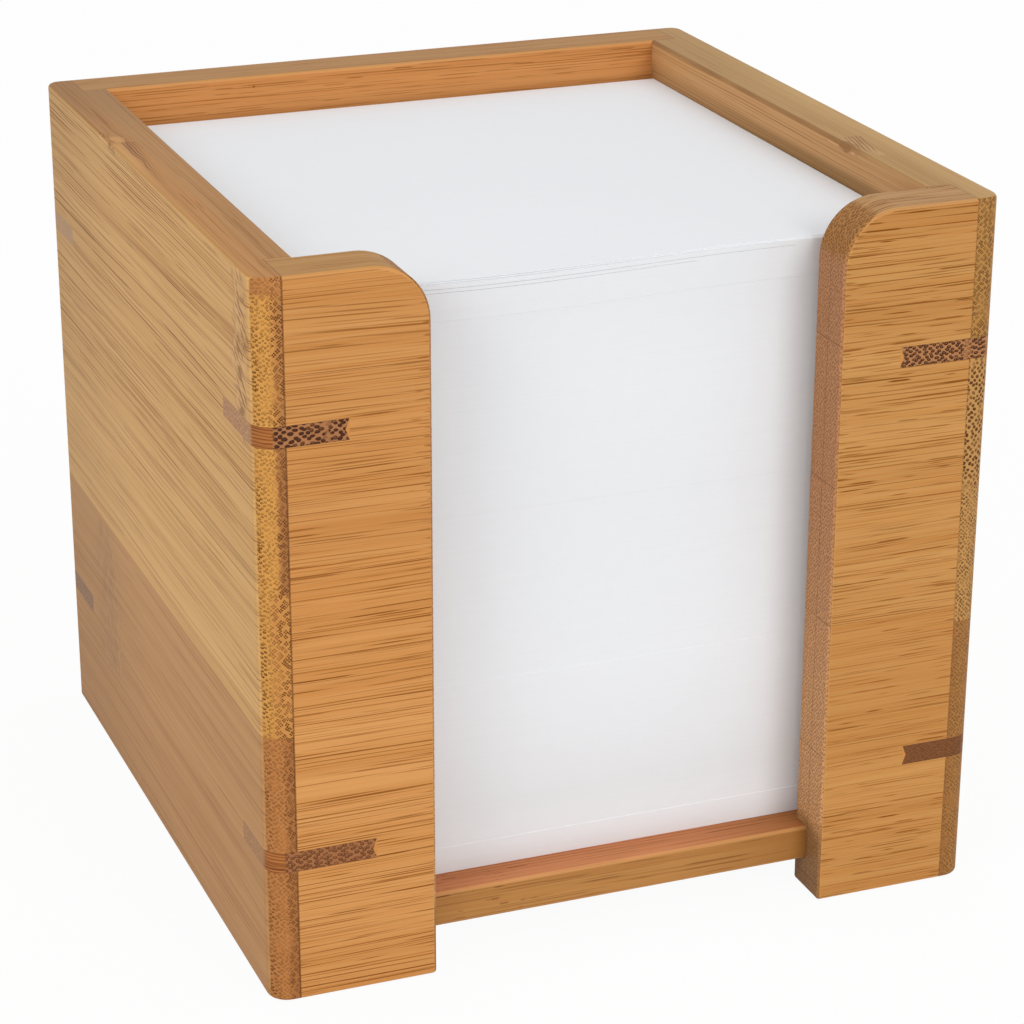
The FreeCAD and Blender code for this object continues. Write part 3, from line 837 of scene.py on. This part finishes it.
def makeKeyWood(name, values, seed, sideways, lengthways, low, high):
    material, tree, shader = newMaterial(name)
    place, facing = placeInMm(tree)
    x, y, z = split(tree, place)
    half = sqrt(0.5)
    grain = (half * sideways, -half * lengthways, 0)
    cross = (half * lengthways, half * sideways, 0)
    along = calcVector(tree, "DOT_PRODUCT", place, grain)
    across = calcVector(tree, "DOT_PRODUCT", place, cross)
    share = absolute(tree, calcVector(tree, "DOT_PRODUCT", facing, grain))
    # painted sheen: the faces that look sideways get the lighter, greyer end colours
    side = step(tree, absolute(tree, split(tree, facing)[0]), 0.90, 0.98)
    cut = step(tree, share, values["cutFrom"], values["cutFrom"] + 0.2)
    away = absolute(tree, x)
    wood = useGroup(tree, woodGroup, {
        "Point": join(tree, z, across, along), "Row": z, "Seed": seed, "End Cut": cut,
        "Strip Width": 200.0, "Ply Shift": -100.0, "Ply Width": 200.0,  # no glue line within a key
        "Streak Amount": 0.9, "Hair Amount": 0.9,
        "Pale": values["pale"], "Deep": values["deep"], "Streak": values["streak"],
        "End Pale": blend(tree, side, values["endPale"], values["sheenPale"]),
        "End Deep": blend(tree, side, values["endDeep"], values["sheenDeep"]),
        "Dot": blend(tree, side, values["dot"], values["sheenDot"]),
        "Dot Amount": blendValue(tree, side, values["dotAmount"], values["sheenDotAmount"]),
        "Dot Scale": blendValue(tree, side, values["dotScale"], 1.0),
        "Dot Size": values["dotSize"], "Core": values["core"], "Wall Shift": -1.0})
    color = wood["Color"]
    pauseAt, pauseWide = values["pause"]
    if pauseAt:
        torn = noise(tree, stretch(tree, place, 0.9, 0.9, 1.1), 1.0)
        torn = sway(tree, torn, 1.8, away)
        gap = times(tree, line(tree, torn, pauseAt, pauseWide), minus(tree, 1.0, side))
        color = paint(tree, color, gap, 0.7, values["endPale"])
    # fine dark lines along the corner's long grain
    wobble = noise(tree, stretch(tree, place, 0.2, 0.2, 0.5), 1.0)
    rows = ruled(tree, timesPlus(tree, z, 2.1, times(tree, wobble, 1.5)))
    rows = times(tree, rows, minus(tree, 1.0, cut))
    color = paint(tree, color, rows, values["rules"], values["streak"])
    edge = calc(tree, "MAXIMUM", line(tree, z, low[2] / mm, 0.16), line(tree, z, high[2] / mm, 0.16))
    edge = times(tree, edge, blendValue(tree, side, 0.4, 0.05))
    color = paint(tree, color, edge, values["outlineDark"], values["outline"])
    # the inner end on the front or back face is torn to a shallow swallow tail
    innerEnd = min(abs(low[0]), abs(high[0])) / mm
    tall = (high[2] - low[2]) / mm / 2
    off = absolute(tree, minus(tree, z, low[2] / mm + tall))
    hollow = timesPlus(tree, off, -values["notch"] / tall, values["notch"] + innerEnd)
    hollow = step(tree, minus(tree, away, hollow), 0.06, -0.06)
    color = blend(tree, hollow, color, values["notchFill"])
    finishWood(tree, shader, color, wood, values)
    return material


def dress(node, material):
    nodes[node].material_slots[0].material = material


dress("left_side_panel", makeSideWood("leftSideBamboo", sideWood, 1.0))
dress("right_side_panel", makeSideWood("rightSideBamboo", rightSideWood, 2.0))
dress("left_front_post", makeBoardWood("leftPostBamboo", leftPostWood, 3.0, 2.4, True))
dress("right_front_post", makeBoardWood("rightPostBamboo", rightPostWood, 4.0, 2.4, True))
dress("back_panel", makeBoardWood("backBamboo", backWood, 5.0, 2.4, False))
dress("base_plate", makePlateWood("plateBamboo", plateWood, 6.0))
for number, end in enumerate(("front", "back")):
    for turn, side in enumerate(("left", "right")):
        for level, name in enumerate(("lower", "upper")):
            node = f"{end}_{side}_{name}_key"
            direction = (1, 1) if (end == "front") == (side == "left") else (1, -1)
            values = {**keyWood, **keyChanges.get(node, {})}
            dress(node, makeKeyWood(f"{end}{side.title()}{name.title()}KeyBamboo", values,
                                    20.0 + number * 4 + turn * 2 + level, *direction, *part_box(node)))
print("bamboo finished")


paper = {
    "color": tint(233, 235, 238),
    "roughness": 0.85,
}


def makePaper(name, values, edges):
    material, tree, shader = newMaterial(name)
    place = placeInMm(tree)[0]
    fluff = noise(tree, stretch(tree, place, 0.7, 0.7, 0.7), 4.0, 0.6)
    level = sway(tree, fluff, 0.03, 1.0)
    if edges:
        sheets = noise(tree, stretch(tree, place, 0.02, 0.02, 4.0), 3.0, 0.7)
        level = sway(tree, sheets, 0.05, level)
        # painted shade: the stack's front and sides darker towards the top, a little lighter low down
        level = minus(tree, level, step(tree, split(tree, place)[2], 30.0, 94.0, -0.01, 0.05))
    color = dim(tree, values["color"], level)
    feed(tree, shader.inputs["Base Color"], color)
    shader.inputs["Roughness"].default_value = values["roughness"]
    shader.inputs["Specular IOR Level"].default_value = 0.2
    return material


stack = {
    # the height of each ledge between two packets of sheets, and how far the packet above it
    # stands in from the front and to the side, in mm
    "packets": [(14.0, 0.04, 0.08), (19.5, 0.02, -0.10), (39.0, 0.05, 0.06), (64.0, 0.02, -0.10),
                (81.0, 0.04, 0.08), (92.6, 0.0, 0.0)],
    "ledge": 0.05,  # mm: the height over which one packet steps to the next
    "cells": 30,  # the mesh across the top
    # thin gaps in the front face: height, how deep at the left, and how far across they run
    "gaps": [(97.13, 0.4, 25.0), (96.6, 0.4, 11.0)],
    "gapHeight": 0.025,
    "sagPlace": -15.0,  # mm: where along the front edge the paper hangs lowest
    "sagReach": 36.0,  # mm from there to where it lies level again
    "stackSag": 0.66,  # mm by which it hangs
    "secondSag": 0.63,
    "topSag": 0.59,
    "dip": 0.22,  # mm by which the middle of the right edge hangs
    "dipReach": 40.0,
}


def pick(mesh, chosen):
    # in edit mode, selects the corners that chosen accepts, by their place in mm
    bpy.ops.mesh.select_all(action="DESELECT")
    bpy.ops.object.mode_set(mode="OBJECT")
    for vertex in mesh.vertices:
        vertex.select = bool(chosen(*(vertex.co / mm)))
    bpy.ops.object.mode_set(mode="EDIT")


def startBlock(name, low, high):
    bpy.ops.object.select_all(action="DESELECT")
    bpy.ops.mesh.primitive_cube_add(size=1, location=(0, 0, 0))
    block = bpy.context.object
    block.name = block.data.name = name
    block.scale = [top - bottom for bottom, top in zip(low, high)]
    block.location = [(top + bottom) / 2 for bottom, top in zip(low, high)]
    bpy.ops.object.transform_apply(location=True, rotation=False, scale=True)
    bpy.ops.object.mode_set(mode="EDIT")
    bpy.ops.mesh.select_mode(type="VERT")
    return block


def cutLevel(height):
    # one level cut right through, at a height in mm
    bpy.ops.mesh.select_all(action="SELECT")
    bpy.ops.mesh.bisect(plane_co=(0, 0, height * mm), plane_no=(0, 0, 1), threshold=0.001 * mm)


def cutGrid(low, high, count):
    # rows of cuts both ways across the block, so that it can bend
    for axis in (0, 1):
        across = [1.0 if axis == number else 0.0 for number in range(3)]
        for number in range(1, count):
            at = low[axis] + (high[axis] - low[axis]) * number / count
            bpy.ops.mesh.select_all(action="SELECT")
            bpy.ops.mesh.bisect(plane_co=[at * side for side in across], plane_no=across)


def sag(block, place, drop, reach, low):
    # pulls one spot of the paper down, and the paper round it follows
    spotX, spotY = place[0] / mm, place[1] / mm
    near = 1.6  # mm: about half a cell of the mesh
    pick(block.data, lambda x, y, z: abs(x - spotX) < near and abs(y - spotY) < near and z > low)
    bpy.ops.transform.translate(value=(0, 0, -drop * mm), use_proportional_edit=True,
                                proportional_edit_falloff="SMOOTH", proportional_size=reach * mm,
                                use_proportional_connected=False)


def finishPaper(block, body, cadNode, sharp):
    bpy.ops.mesh.select_all(action="SELECT")
    bpy.ops.mesh.normals_make_consistent(inside=False)
    bpy.ops.object.mode_set(mode="OBJECT")
    bpy.ops.object.shade_smooth_by_angle(angle=radians(sharp))
    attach(block, body)
    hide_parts(cadNode)


def makeStack(values):
    low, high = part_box("note_paper_stack")
    block = startBlock("paperStack", low, high)
    heights = [packet[0] for packet in values["packets"]]
    for height in heights:
        cutLevel(height)
        cutLevel(height + values["ledge"])
    middle = values["ledge"] * 0.5
    for (height, back, side), top in zip(values["packets"], heights[1:] + [high[2] / mm + 1]):
        pick(block.data, lambda x, y, z: height + middle < z < top + middle)
        bpy.ops.transform.translate(value=(side * mm, 0, 0))
        pick(block.data, lambda x, y, z: height + middle < z < top + middle and y < 0)
        bpy.ops.transform.translate(value=(0, back * mm, 0))
    cutGrid(low, high, values["cells"])
    for height, deep, end in values["gaps"]:
        for level in (-1, 0, 1):
            cutLevel(height + level * values["gapHeight"])
        for share in (0.3, 0.65, 1.0):
            until = low[0] / mm + (end - low[0] / mm) * share
            pick(block.data, lambda x, y, z: x < until and y < low[1] / mm + 0.8
                 and abs(z - height) < values["gapHeight"] * 0.5)
            bpy.ops.transform.translate(value=(0, deep / 3 * mm, 0))
    top = high[2] / mm - 0.2
    sag(block, (values["sagPlace"] * mm, low[1]), values["stackSag"], values["sagReach"], top)
    sag(block, (high[0], 0), values["dip"], values["dipReach"], top)
    finishPaper(block, "paper_stack", "note_paper_stack", 25)
    return block


def makeSheet(name, cadNode, body, values, drop):
    low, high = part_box(cadNode)
    block = startBlock(name, low, high)
    cutGrid(low, high, values["cells"])
    sag(block, (values["sagPlace"] * mm, low[1]), drop, values["sagReach"], low[2] / mm - 1)
    finishPaper(block, body, cadNode, 40)
    return block


edges, face = makePaper("stackPaper", paper, True), makePaper("sheetPaper", paper, False)
paperStack = makeStack(stack)
secondSheet = makeSheet("secondSheet", "loose_second_note", "second_note", stack, stack["secondSag"])
topSheet = makeSheet("topSheet", "loose_top_note", "top_note", stack, stack["topSag"])
for piece, material in ((paperStack, edges), (secondSheet, face), (topSheet, face)):
    piece.data.materials.append(material)
print("paper laid in")
